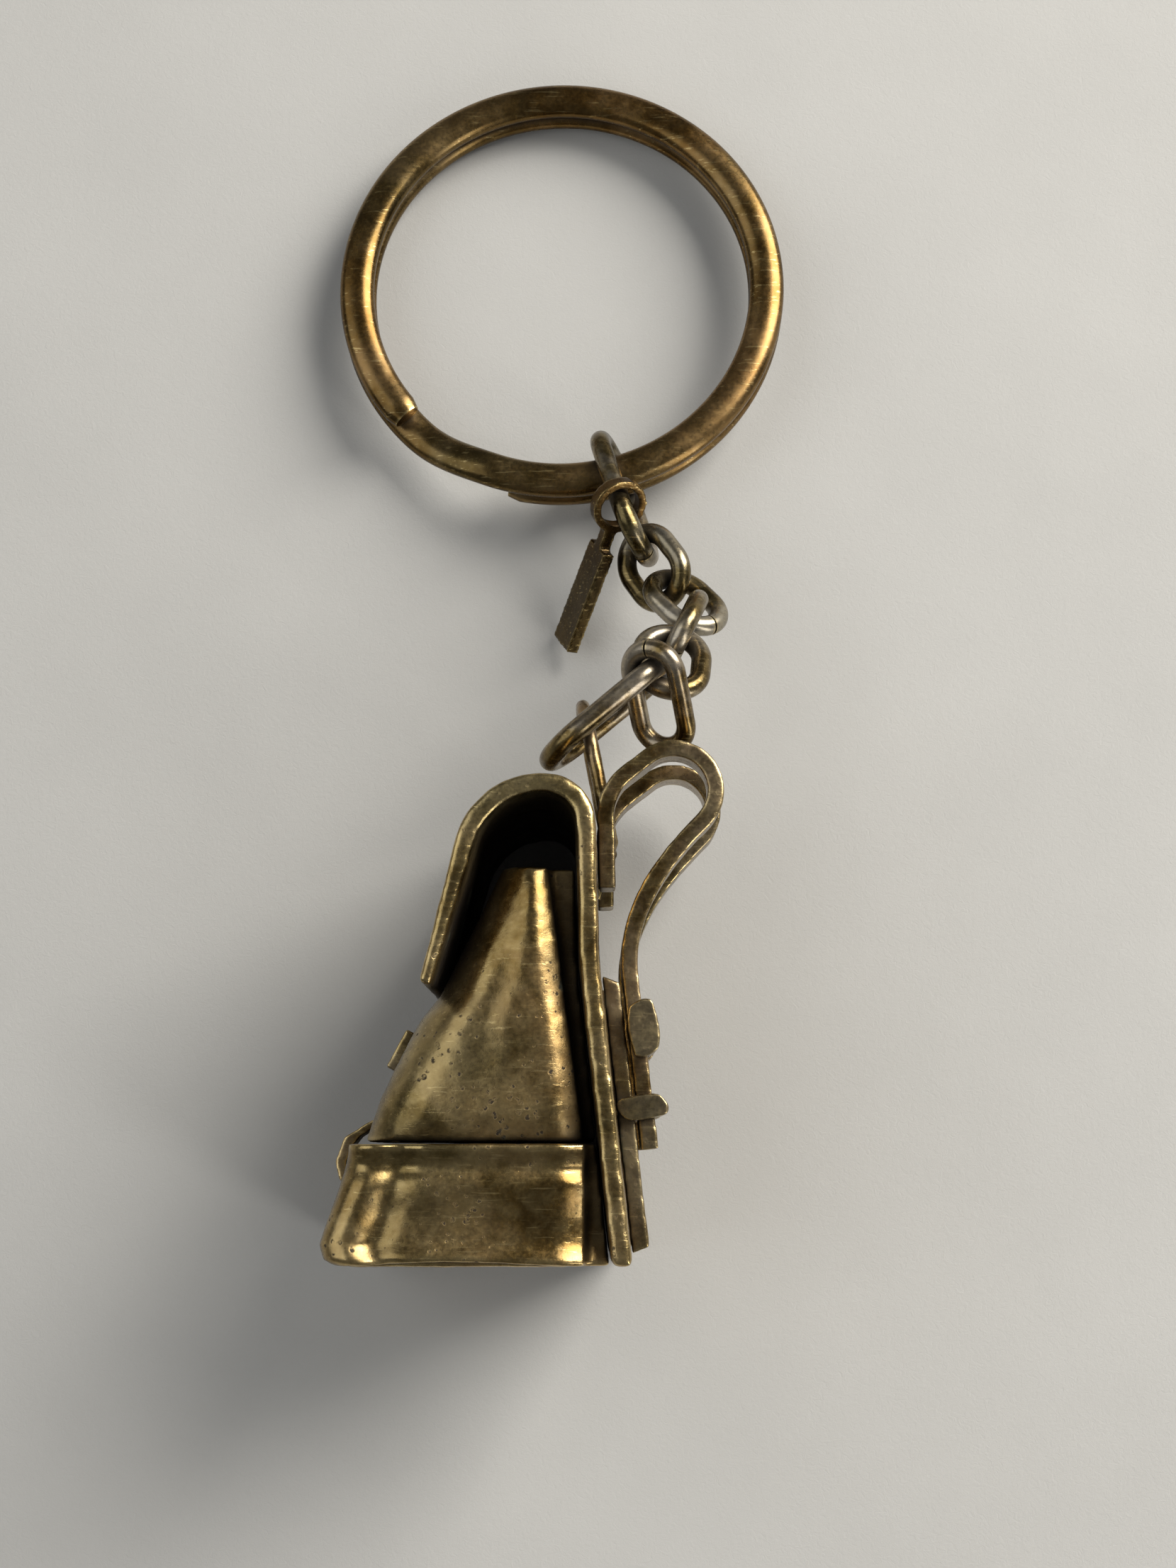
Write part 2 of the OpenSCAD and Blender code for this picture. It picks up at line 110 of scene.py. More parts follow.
# ---- Settings ---------------------------------------------------------------------------
def length(name, description, default, low, high):
    """A size in metres that the sidebar shows with its unit."""
    return FloatProperty(name=name, description=description, default=default, min=low, max=high,
                         subtype="DISTANCE", unit="LENGTH", precision=5)


def colour(name, description, default):
    return FloatVectorProperty(name=name, description=description, default=default, min=0.0,
                               max=1.0, size=3, subtype="COLOR")


class KeychainCharmSettings(PropertyGroup):
    sheet_grain: length("Sheet grain", "Cell size of the cast sheets' meshes", 0.0002, 0.0001,
                        0.0005)
    strap_grain: length("Strap grain", "Cell size of the cast straps' meshes", 0.00012, 0.00008,
                        0.0003)
    buckle_grain: length("Buckle grain", "Cell size of the cast buckles' meshes", 0.00008, 0.00006,
                         0.0002)
    softness: IntProperty(name="Softness", description="How often the cast edges are smoothed",
                          default=10, min=0, max=30)
    unevenness: length("Unevenness", "How far the cast faces wander from flat", 0.00007, 0.0,
                       0.0003)
    body_corner: length("Body corner", "Rounding between the body's sides and its front", 0.0032,
                        0.0005, 0.005)
    boot_corner: length("Boot corner", "Rounding between the boot's sides and its front", 0.0019,
                        0.0005, 0.004)


class KeychainChainSettings(PropertyGroup):
    small_wire: length("Small wire", "Wire of the small links", 0.0013, 0.0008, 0.0016)
    large_wire: length("Large wire", "Wire of the large links", 0.00135, 0.0008, 0.0016)
    spare_wire: length("Spare wire", "Wire of the spare link", 0.0012, 0.0008, 0.0016)
    butt_gap: length("Butt gap", "Gap where a link's wire ends meet", 0.00010, 0.0, 0.0005)
    unevenness: length("Unevenness", "How far the drawn wire departs from round", 0.00003, 0.0,
                       0.0001)


class KeychainRingSettings(PropertyGroup):
    wire_width: length("Wire width", "Radial width of the ring's wire", 0.00235, 0.001, 0.004)
    wire_height: length("Wire height", "Height of one turn of the ring's wire", 0.0015, 0.001,
                        0.003)
    outer: length("Outer diameter", "Outer diameter of the split ring", 0.030, 0.02, 0.04)
    fullness: FloatProperty(name="Fullness",
                            description="Squareness of the wire's section, 2 is an ellipse",
                            default=2.15, min=2.0, max=6.0)


class KeychainFinishSettings(PropertyGroup):
    bright: colour("Bright brass", "Brass where handling has polished it", (0.86, 0.66, 0.30))
    body: colour("Aged brass", "Brass under its brown-gold patina", (0.30, 0.205, 0.070))
    # Besides the real patina, this colour is painted into recesses and under the flap as painted shade.
    deep: colour("Deep patina and shade", "Dark brown patina in the recesses", (0.020, 0.014, 0.009))
    steel: colour("Worn silver", "Silver-grey spots where the links rub", (0.62, 0.60, 0.56))
    paper: colour("Paper", "Warm grey paper under the keychain", (0.46, 0.452, 0.428))


class KeychainStageSettings(PropertyGroup):
    lens: FloatProperty(name="Lens", description="Focal length", default=54.08, min=20.0,
                        max=200.0, subtype="DISTANCE_CAMERA", unit="CAMERA")
    tilt: FloatProperty(name="Tilt", description="Camera's tilt from straight down",
                        default=math.radians(9), min=-1.5, max=1.5, subtype="ANGLE",
                        unit="ROTATION")
    camera_x: length("Camera X", "Camera's place along X", 0.00177, -1.0, 1.0)
    camera_y: length("Camera Y", "Camera's place along Y", -0.03338, -1.0, 1.0)
    camera_z: length("Camera height", "Camera's height over the paper", 0.15526, 0.05, 1.0)


SETTINGS = {
    "keychain_charm": KeychainCharmSettings, "keychain_chain": KeychainChainSettings,
    "keychain_ring": KeychainRingSettings, "keychain_finish": KeychainFinishSettings,
    "keychain_stage": KeychainStageSettings,
}


# ---- Shader node groups -----------------------------------------------------------------
def add_node(tree, kind, at, **values):
    node = tree.nodes.new(kind)
    node.location = at
    for key, value in values.items():
        if key.startswith("in_"):
            node.inputs[int(key[3:])].default_value = value
        else:
            setattr(node, key, value)
    return node


def new_group(name, inputs, outputs):
    tree = bpy.data.node_groups.new(name, "ShaderNodeTree")
    for label, kind, value in inputs:
        socket = tree.interface.new_socket(label, in_out="INPUT", socket_type=kind)
        if value is not None:
            socket.default_value = value
    for label, kind in outputs:
        tree.interface.new_socket(label, in_out="OUTPUT", socket_type=kind)
    return tree, tree.nodes.new("NodeGroupInput"), tree.nodes.new("NodeGroupOutput")


def math_node(tree, operation, a, b=None, at=(0, 0), clamp=False):
    node = add_node(tree, "ShaderNodeMath", at, operation=operation, use_clamp=clamp)
    for index, value in enumerate((a, b)):
        if value is None:
            continue
        if isinstance(value, (int, float)):
            node.inputs[index].default_value = value
        else:
            tree.links.new(value, node.inputs[index])
    return node.outputs[0]


def ramp(tree, value, low, high, at=(0, 0), to_low=0.0, to_high=1.0):
    node = add_node(tree, "ShaderNodeMapRange", at, clamp=True)
    tree.links.new(value, node.inputs[0])
    for index, v in enumerate((low, high, to_low, to_high), start=1):
        node.inputs[index].default_value = v
    return node.outputs[0]


def mix_colour(tree, fac, a, b, at=(0, 0), blend="MIX"):
    node = add_node(tree, "ShaderNodeMix", at, data_type="RGBA", blend_type=blend)
    for socket, value in ((node.inputs[0], fac), (node.inputs[6], a), (node.inputs[7], b)):
        if isinstance(value, (int, float)):
            socket.default_value = value
        elif isinstance(value, (tuple, list)):
            socket.default_value = tuple(value) + ((1.0,) if len(value) == 3 else ())
        else:
            tree.links.new(value, socket)
    return node.outputs[2]


def noise(tree, vector, scale, detail, roughness, at, distortion=0.0):
    node = add_node(tree, "ShaderNodeTexNoise", at, noise_dimensions="3D")
    tree.links.new(vector, node.inputs["Vector"])
    node.inputs["Scale"].default_value = scale
    node.inputs["Detail"].default_value = detail
    node.inputs["Roughness"].default_value = roughness
    node.inputs["Distortion"].default_value = distortion
    return node.outputs["Fac"]


def patina_group():
    """Antique brass: mottled patina, polished edges, dark recesses that hold both real patina and
    painted shade, pits and fine scratches.
    """
    if "Antique patina" in bpy.data.node_groups:
        return bpy.data.node_groups["Antique patina"]
    inputs = [
        ("Vector", "NodeSocketVector", None),
        ("Edge", "NodeSocketFloat", 0.0),
        ("Patina and shade", "NodeSocketFloat", 0.0),
        ("Bright", "NodeSocketColor", (0.8, 0.6, 0.3, 1)),
        ("Body", "NodeSocketColor", (0.3, 0.2, 0.1, 1)),
        ("Deep", "NodeSocketColor", (0.03, 0.02, 0.01, 1)),
        ("Rubbed", "NodeSocketColor", (0.6, 0.6, 0.55, 1)),
        ("Rub amount", "NodeSocketFloat", 0.2),
        ("Polish", "NodeSocketFloat", 0.4),
        ("Pits", "NodeSocketFloat", 0.5),
        ("Grime", "NodeSocketFloat", 0.5)]
    outputs = [
        ("Color", "NodeSocketColor"),
        ("Roughness", "NodeSocketFloat"),
        ("Metallic", "NodeSocketFloat"),
        ("Height", "NodeSocketFloat")]
    tree, gin, gout = new_group("Antique patina", inputs, outputs)
    v = gin.outputs["Vector"]
    clouds = noise(tree, v, CLOUDS, 4, 0.6, (-1200, 300), 0.4)
    mottle = noise(tree, v, MOTTLE, 5, 0.62, (-1200, 100), 0.3)
    grain = noise(tree, v, GRAIN, 3, 0.6, (-1200, -100))
    broad = noise(tree, v, BROAD, 2, 0.5, (-1200, 500))
    stretch = add_node(tree, "ShaderNodeMapping", (-1400, -500))
    stretch.inputs["Rotation"].default_value = (0.3, 0.5, 0.9)
    stretch.inputs["Scale"].default_value = (1.0, 14.0, 9.0)
    tree.links.new(v, stretch.inputs["Vector"])
    streak = noise(tree, stretch.outputs[0], STREAKS, 3, 0.6, (-1200, -500))
    spots = add_node(tree, "ShaderNodeTexVoronoi", (-1200, -300), feature="F1")
    tree.links.new(v, spots.inputs["Vector"])
    spots.inputs["Scale"].default_value = PITTING
    pit_size = ramp(tree, math_node(tree, "ADD", clouds, math_node(tree, "MULTIPLY", mottle, 0.5),
                                    (-1000, -520)), 0.72, 0.98, (-1000, -420), -0.05, 0.38)
    pit = ramp(tree, math_node(tree, "SUBTRACT", spots.outputs["Distance"], pit_size,
                               (-850, -300)), 0.0, 0.10, (-700, -300), 1.0, 0.0)
    pit = math_node(tree, "MULTIPLY", pit, ramp(tree, grain, 0.40, 0.58, (-700, -160)),
                    (-620, -300))
    pit = math_node(tree, "MULTIPLY", pit, gin.outputs["Pits"], (-550, -300))
    edge = math_node(tree, "MULTIPLY", gin.outputs["Edge"],
                     ramp(tree, mottle, 0.30, 0.62, (-900, 200), 0.25, 1.25), (-700, 200),
                     clamp=True)
    shade = math_node(tree, "ADD", ramp(tree, clouds, 0.35, 0.68, (-900, 400)),
                      ramp(tree, grain, 0.2, 0.8, (-900, 0), -0.18, 0.18), (-700, 350), clamp=True)
    mid = mix_colour(tree, 0.68, gin.outputs["Body"], gin.outputs["Deep"], (-650, 500))
    base = mix_colour(tree, shade, mid, gin.outputs["Body"], (-450, 450))
    warm = mix_colour(tree, ramp(tree, broad, 0.35, 0.65, (-650, 700)), (0.86, 0.94, 0.98),
                      (1.12, 1.0, 0.84), (-450, 700))
    base = mix_colour(tree, 1.0, base, warm, (-250, 500), "MULTIPLY")
    glow = math_node(tree, "MULTIPLY", gin.outputs["Polish"],
                     ramp(tree, mottle, 0.42, 0.66, (-650, 50)), (-450, 100), clamp=True)
    base = mix_colour(tree, glow, base, gin.outputs["Bright"], (-100, 450))
    scratch = ramp(tree, streak, 0.60, 0.70, (-900, -600))
    base = mix_colour(tree, math_node(tree, "MULTIPLY", scratch, 0.28, (-450, -500)), base,
                      gin.outputs["Bright"], (50, 400))
    rub = math_node(tree, "MULTIPLY", gin.outputs["Rub amount"],
                    ramp(tree, clouds, 0.44, 0.60, (-650, -100)), (-450, -50), clamp=True)
    base = mix_colour(tree, rub, base, gin.outputs["Rubbed"], (200, 400))
    base = mix_colour(tree, edge, base, gin.outputs["Bright"], (350, 400))
    # Darkens towards the deep colour, lowers metallic and raises roughness: real patina and pits plus
    # painted shade from the occlusion mask.
    grime_and_shade = math_node(tree, "MULTIPLY",
                      math_node(tree, "ADD", gin.outputs["Patina and shade"],
                                math_node(tree, "MULTIPLY", pit, 1.1, (0, 0)), (100, 100),
                                clamp=True), ramp(tree, mottle, 0.2, 0.6, (-200, -150), 0.75, 1.1),
                      (250, 100), clamp=True)
    base = mix_colour(tree, grime_and_shade, base, gin.outputs["Deep"], (500, 400))
    verdigris = math_node(tree, "MULTIPLY", ramp(tree, clouds, 0.60, 0.72, (100, -250)),
                          math_node(tree, "MULTIPLY", gin.outputs["Patina and shade"], gin.outputs["Grime"],
                                    (100, -400)), (300, -250), clamp=True)
    base = mix_colour(tree, math_node(tree, "MULTIPLY", verdigris, 0.5, (450, -250)), base,
                      (0.22, 0.27, 0.20), (650, 400))
    tree.links.new(base, gout.inputs["Color"])
    rough = math_node(tree, "ADD", ramp(tree, clouds, 0.3, 0.7, (300, 700), 0.20, 0.33),
                      ramp(tree, grain, 0.2, 0.8, (300, 850), -0.06, 0.08), (500, 750))
    rough = math_node(tree, "SUBTRACT", rough, math_node(tree, "MULTIPLY", edge, 0.12, (500, 900)),
                      (650, 750))
    rough = math_node(tree, "ADD", rough, math_node(tree, "MULTIPLY", grime_and_shade, 0.30, (650, 900)),
                      (800, 750), clamp=True)
    tree.links.new(rough, gout.inputs["Roughness"])
    tree.links.new(ramp(tree, grime_and_shade, 0.0, 1.0, (800, 200), 1.0, 0.55), gout.inputs["Metallic"])
    height = math_node(tree, "SUBTRACT", math_node(tree, "MULTIPLY", mottle, 0.55, (300, -500)),
                       math_node(tree, "MULTIPLY", pit, 0.4, (300, -620)), (450, -500))
    height = math_node(tree, "ADD", height, math_node(tree, "MULTIPLY", grain, 0.16, (450, -650)),
                       (600, -500))
    height = math_node(tree, "SUBTRACT", height,
                       math_node(tree, "MULTIPLY", scratch, 0.10, (600, -650)), (750, -500))
    tree.links.new(height, gout.inputs["Height"])
    gout.location = (1000, 300)
    return tree


def brass(name, seed, edge_radius, edge_gain, patina_and_shade_reach, patina_and_shade_gain, polish, pits, rub, grime_and_shade,
          bump, body_tint=(1, 1, 1)):
    """One finish made from the shared patina group with its own values."""
    finish = bpy.context.scene.keychain_finish
    material = bpy.data.materials.new(name)
    material.use_nodes = True
    tree = material.node_tree
    tree.nodes.clear()
    out = add_node(tree, "ShaderNodeOutputMaterial", (900, 0))
    shader = add_node(tree, "ShaderNodeBsdfPrincipled", (600, 0))
    tree.links.new(shader.outputs[0], out.inputs[0])
    coords = add_node(tree, "ShaderNodeTexCoord", (-1000, 0))
    place = add_node(tree, "ShaderNodeMapping", (-800, 0))
    place.inputs["Location"].default_value = (0.11 * seed, 0.07 * seed, 0.05 * seed)
    tree.links.new(coords.outputs["Object"], place.inputs["Vector"])
    bevel = add_node(tree, "ShaderNodeBevel", (-1000, -300), samples=6)
    bevel.inputs["Radius"].default_value = edge_radius
    geometry = add_node(tree, "ShaderNodeNewGeometry", (-1000, -500))
    dot = add_node(tree, "ShaderNodeVectorMath", (-800, -350), operation="DOT_PRODUCT")
    tree.links.new(bevel.outputs[0], dot.inputs[0])
    tree.links.new(geometry.outputs["Normal"], dot.inputs[1])
    edge = ramp(tree, dot.outputs["Value"], 1.0, 1.0 - 0.25 / edge_gain, (-600, -350), 0.0, 1.0)
    # Ambient occlusion mask: real dark patina in the hollows plus painted shade in deep recesses and
    # under the flap.
    corner = add_node(tree, "ShaderNodeAmbientOcclusion", (-1000, -700), samples=6,
                      only_local=False)
    corner.inputs["Distance"].default_value = patina_and_shade_reach
    patina_and_shade_mask = ramp(tree, corner.outputs["AO"], 0.82, 0.82 - 0.6 / patina_and_shade_gain, (-600, -650), 0.0,
                  1.0)
    convex = math_node(tree, "SUBTRACT", edge, patina_and_shade_mask, (-450, -400), clamp=True)
    patina = add_node(tree, "ShaderNodeGroup", (-250, 0), node_tree=patina_group())
    tree.links.new(place.outputs[0], patina.inputs["Vector"])
    tree.links.new(convex, patina.inputs["Edge"])
    tree.links.new(patina_and_shade_mask, patina.inputs["Patina and shade"])
    tinted = [c * t for c, t in zip(finish.body, body_tint)]
    for socket, value in (("Bright", finish.bright), ("Body", tinted), ("Deep", finish.deep),
                          ("Rubbed", finish.steel)):
        patina.inputs[socket].default_value = (*value, 1.0)
    for socket, value in (("Rub amount", rub), ("Polish", polish), ("Pits", pits),
                          ("Grime", grime_and_shade)):
        patina.inputs[socket].default_value = value
    tree.links.new(patina.outputs["Color"], shader.inputs["Base Color"])
    tree.links.new(patina.outputs["Roughness"], shader.inputs["Roughness"])
    tree.links.new(patina.outputs["Metallic"], shader.inputs["Metallic"])
    relief = add_node(tree, "ShaderNodeBump", (300, -300))
    relief.inputs["Strength"].default_value = 1.0
    relief.inputs["Distance"].default_value = bump
    tree.links.new(patina.outputs["Height"], relief.inputs["Height"])
    tree.links.new(relief.outputs[0], shader.inputs["Normal"])
    return material


FINISHES = {
    "charm_sheet": dict(
        seed=1, edge_radius=0.0006, edge_gain=1.2, patina_and_shade_reach=0.0030, patina_and_shade_gain=1.0,
        polish=0.16, pits=0.8, rub=0.06, grime_and_shade=0.8, bump=0.000035),
    # The flap's long occlusion reach paints shade on its underside and inside, on top of the dark patina
    # in its folds.
    "charm_flap": dict(
        seed=2, edge_radius=0.0007, edge_gain=1.3, patina_and_shade_reach=0.0060, patina_and_shade_gain=1.3,
        polish=0.20, pits=0.7, rub=0.08, grime_and_shade=0.9, bump=0.00004),
    "charm_strap": dict(
        seed=3, edge_radius=0.00035, edge_gain=1.5, patina_and_shade_reach=0.0012, patina_and_shade_gain=1.1,
        polish=0.16, pits=0.35, rub=0.12, grime_and_shade=0.7, bump=0.00003, body_tint=(0.66, 0.60, 0.55)),
    "buckle_wire": dict(
        seed=4, edge_radius=0.00022, edge_gain=1.6, patina_and_shade_reach=0.0009, patina_and_shade_gain=1.3,
        polish=0.18, pits=0.3, rub=0.12, grime_and_shade=0.7, bump=0.00002, body_tint=(0.70, 0.66, 0.62)),
    "chain_wire": dict(
        seed=5, edge_radius=0.0003, edge_gain=0.8, patina_and_shade_reach=0.0012, patina_and_shade_gain=1.0,
        polish=0.14, pits=0.25, rub=0.35, grime_and_shade=0.3, bump=0.000018, body_tint=(0.62, 0.64, 0.70)),
    "ring_wire": dict(
        seed=6, edge_radius=0.0004, edge_gain=0.9, patina_and_shade_reach=0.0013, patina_and_shade_gain=1.3,
        polish=0.04, pits=0.1, rub=0.04, grime_and_shade=0.2, bump=0.000008, body_tint=(0.66, 0.58, 0.50)),
    "tag_strip": dict(
        seed=7, edge_radius=0.00025, edge_gain=1.2, patina_and_shade_reach=0.0012, patina_and_shade_gain=1.0,
        polish=0.0, pits=0.3, rub=0.0, grime_and_shade=0.4, bump=0.00003, body_tint=(0.45, 0.40, 0.40)),
}


def finish_of(name):
    return bpy.data.materials.get(name) or brass(name, **FINISHES[name])


# ---- Mesh helpers -----------------------------------------------------------------------
def piece_from(name, mesh, body, node, material, smooth_angle=35):
    """Makes a finished piece that stands for a node and moves with its body."""
    piece = bpy.data.objects.new(name, mesh)
    bpy.context.scene.collection.objects.link(piece)
    mesh.materials.clear()
    mesh.materials.append(material)
    for face in mesh.polygons:
        face.use_smooth = True
        face.material_index = 0
    mesh.set_sharp_from_angle(angle=math.radians(smooth_angle))
    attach(piece, body)
    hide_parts(node)
    return piece


def merged_copy(node):
    """A node's mesh with its corners joined and its flat faces made whole."""
    source = frame["nodes"][node].data
    mesh = bpy.data.meshes.new(node + "_worn")
    shell = bmesh.new()
    shell.from_mesh(source)
    bmesh.ops.remove_doubles(shell, verts=shell.verts, dist=2e-6)
    bmesh.ops.dissolve_limit(shell, angle_limit=math.radians(1.0), verts=shell.verts,
                             edges=shell.edges)
    shell.to_mesh(mesh)
    shell.free()
    return mesh


def points_of(node):
    return mesh_points(frame["nodes"][node].data)


def mesh_points(mesh):
    points = np.empty(len(mesh.vertices) * 3)
    mesh.vertices.foreach_get("co", points)
    return points.reshape(-1, 3)


def wander(points, scale, seed):
    """Smooth values from -1 to 1 that drift over the points, the same each time."""
    shift = Vector((seed * 7.3, seed * 3.1, seed * 1.7))
    return np.array([solid_noise.noise(Vector(p) * scale + shift) for p in points])


def cast_mesh(node, grain, softness):
    """A node's mesh cast again in even cells, with its edges softened as in lost-wax brass."""
    mesh = merged_copy(node)
    mesh.transform(Matrix.Scale(1 / MM, 4))
    holder = bpy.data.objects.new(node + "_casting", mesh)
    bpy.context.scene.collection.objects.link(holder)
    cells = holder.modifiers.new("Even cells", "REMESH")
    cells.mode = "VOXEL"
    cells.voxel_size = grain / MM
    if softness:
        soft = holder.modifiers.new("Soft edges", "SMOOTH")
        soft.factor = 0.5
        soft.iterations = softness
    bpy.context.view_layer.update()
    result = bpy.data.meshes.new_from_object(holder.evaluated_get(bpy.context.evaluated_depsgraph_get()))
    holder.modifiers.clear()
    bpy.data.objects.remove(holder)
    result.transform(Matrix.Scale(MM, 4))
    return result


def cast(node, body, grain, material, softness=None, form=None, unevenness=None):
    """A cast piece in place of a node: softened, formed, and uneven inward."""
    charm = bpy.context.scene.keychain_charm
    mesh = cast_mesh(node, grain, charm.softness if softness is None else softness)
    points = mesh_points(mesh)
    if form:
        points = form(points)
    depth = charm.unevenness if unevenness is None else unevenness
    if depth:
        normals = np.empty(len(mesh.vertices) * 3)
        mesh.vertex_normals.foreach_get("vector", normals)
        seed = len(node)
        drift = 0.65 * wander(points, 420, seed) + 0.35 * wander(points, 1500, seed + 3)
        points = points + normals.reshape(-1, 3) * (drift - 0.9)[:, None] * depth
    mesh.vertices.foreach_set("co", points.ravel())
    mesh.update()
    return piece_from(node + "_piece", mesh, body, node, material, smooth_angle=80)


def rounded_frame(points):
    """Pulls in the corners of a buckle or keeper seen from its side, so its outline is an oval."""
    low, high = points.min(0), points.max(0)
    middle, half = (low + high) / 2, (high - low) / 2
    a, b = (points[:, 0] - middle[0]) / half[0], (points[:, 1] - middle[1]) / half[1]
    result = points.copy()
    result[:, 0] = middle[0] + half[0] * a * (1 - 0.30 * b ** 2)
    result[:, 1] = middle[1] + half[1] * b * (1 - 0.22 * a ** 2)
    return result


def sunk_closure(points):
    """Lets the front closure into the body's folded front, with its curled tail left free."""
    foot = points_of("bag_body")[:, 1].min()
    result = points.copy()
    height = points[:, 1] - foot
    result[:, 0] += CLOSURE_DEPTH * np.clip((height - CLOSURE_FREE_TAIL) / CLOSURE_EASE, 0, 1)
    return result


def front_line(node):
    """The node's front, as the lowest x at each height, read from its solid's upper side."""
    points = points_of(node)
    low, high = points[:, 2].min(), points[:, 2].max()
    points = points[points[:, 2] > (low + high) / 2 + UPPER_SIDE * (high - low) / 2]
    heights = np.unique(np.round(points[:, 1], 5))
    return heights, np.array(
        [points[np.abs(points[:, 1] - y) < SAME_PLACE, 0].min() for y in heights])


def hump(distance, width):
    return np.exp(-(distance / width) ** 2)


def channel(shape, distance):
    """How far a channel lies under the surface at each distance from the edge it follows."""
    depth, place, width = shape
    return depth * hump(distance - place, width)


def middle_and_half(values):
    """Half-way between the least and the greatest value, and how far each is from there."""
    return (values.max() + values.min()) / 2, (values.max() - values.min()) / 2


def axes_matrix(x, y, z, origin):
    matrix = Matrix.Identity(4)
    for column, vector in enumerate((x, y, z, origin)):
        for row in range(3):
            matrix[row][column] = vector[row]
    return matrix


def corner_drop(distance, radius):
    """How far a rounded corner lies under its flat side."""
    inside = np.clip(radius - np.maximum(distance, 0), 0, radius)
    return radius - np.sqrt(np.maximum(radius ** 2 - inside ** 2, 0))


def dome_body(points):
    """Rounds the body's sides: a soft ridge, a large front corner and a groove by the back panel."""
    solid = points_of("bag_body")
    x, y, z = points.T
    bottom, top = solid[:, 1].min(), solid[:, 1].max()
    middle, half = middle_and_half(solid[:, 2])
    side = solid[solid[:, 2] > solid[:, 2].max() - SAME_PLACE]
    foot_back = side[side[:, 1] < bottom + SAME_PLACE, 0].max()
    top_back = side[side[:, 1] > top - SAME_PLACE, 0].max()
    back = np.interp(y, (bottom, top), (foot_back, top_back))
    front = np.interp(y, *front_line("bag_body"))
    ahead, behind = x - front, np.maximum(back - x, 0)
    width = np.maximum(ahead + behind, 0.0005)
    radius = np.minimum(bpy.context.scene.keychain_charm.body_corner, 0.75 * width)
    share = np.clip(behind / width, 0, 1)
    drop = corner_drop(ahead, radius)
    fall = np.clip((share - BODY_FALL_FROM) / (1 - BODY_FALL_FROM), 0, 1)
    drop = drop + BODY_BACK_FALL * fall ** BODY_FALL_POWER
    drop = drop + channel(BODY_BACK_GROOVE, behind) + channel(BODY_TOP_ROLL, top - y)
    drop = drop + channel(BODY_FOOT_ROLL, y - bottom)
    crease = channel(BODY_CREASE, (share - BODY_CREASE_PLACE) * width)
    drop = drop + crease * np.clip((y - bottom) / (top - bottom), 0, 1)
    drop = drop + BODY_DENTS * (1 + wander(points, DENT_SCALE, 5))
    inward = np.minimum(drop, MOST_DROP * half) / half
    return np.stack([x, y, middle + (z - middle) * (1 - inward)], axis=1)


def dome_boot(points):
    """Rounds the boot's sides: a rolled top seam, a ridge along the front and a lip round the foot."""
    solid = points_of("boot")
    x, y, z = points.T
    bottom, top = solid[:, 1].min(), solid[:, 1].max()
    middle, half = middle_and_half(solid[:, 2])
    back = solid[solid[:, 2] > solid[:, 2].max() - SAME_PLACE, 0].max()
    front = np.interp(y, *front_line("boot"))
    ahead, behind = np.maximum(x - front, 0), np.maximum(back - x, 0)
    drop = corner_drop(ahead, bpy.context.scene.keychain_charm.boot_corner)
    drop = drop + channel(BOOT_BACK_GROOVE, behind)
    drop = drop + channel(BOOT_FRONT_GROOVE, ahead) + channel(BOOT_FOOT_GROOVE, y - bottom)
    drop = drop + channel(BOOT_SEAM_GROOVE, top - y) - channel(BOOT_SEAM_ROLL, top - y)
    hollow = channel(BOOT_FOOT_HOLLOW, y - bottom)
    drop = drop + hollow * np.clip(ahead / BOOT_HOLLOW_EASE, 0, 1)
    drop = drop + BOOT_DENTS * (1 + wander(points, DENT_SCALE, 9))
    rise = channel(BOOT_FOOT_RISE, ahead) * hump(y - bottom, BOOT_RISE_HEIGHT)
    inward = np.clip(drop, 0, MOST_DROP * half) / half
    return np.stack([x, y + rise, middle + (z - middle) * (1 - inward)], axis=1)


def link_place(node):
    """A link's own axes, centre and outline, read from its solid: x along it, z across its plane."""
    points = points_of(node)
    _, axes = np.linalg.eigh(np.cov((points - points.mean(0)).T))
    normal = axes[:, 0]
    side, along = axes[:, 1], axes[:, 2]
    best = None
    for step in range(-TURN_STEPS, TURN_STEPS + 1):
        a = math.radians(step * TURN_STEP)
        x = along * math.cos(a) + side * math.sin(a)
        y = np.cross(normal, x)
        u, w = points @ x, points @ y
        size = (u.max() - u.min(), w.max() - w.min())
        if best is None or size[0] * size[1] < best[0]:
            best = (size[0] * size[1], x, y, size, (u.max() + u.min()) / 2,
                    (w.max() + w.min()) / 2)
    _, x, y, size, u, w = best
    if size[0] < size[1]:
        x, y, size, u, w = y, -x, (size[1], size[0]), w, -u
    z = np.cross(x, y)
    n = points @ z
    centre = u * x + w * y + (n.max() + n.min()) / 2 * z
    return axes_matrix(x, y, z, centre), size


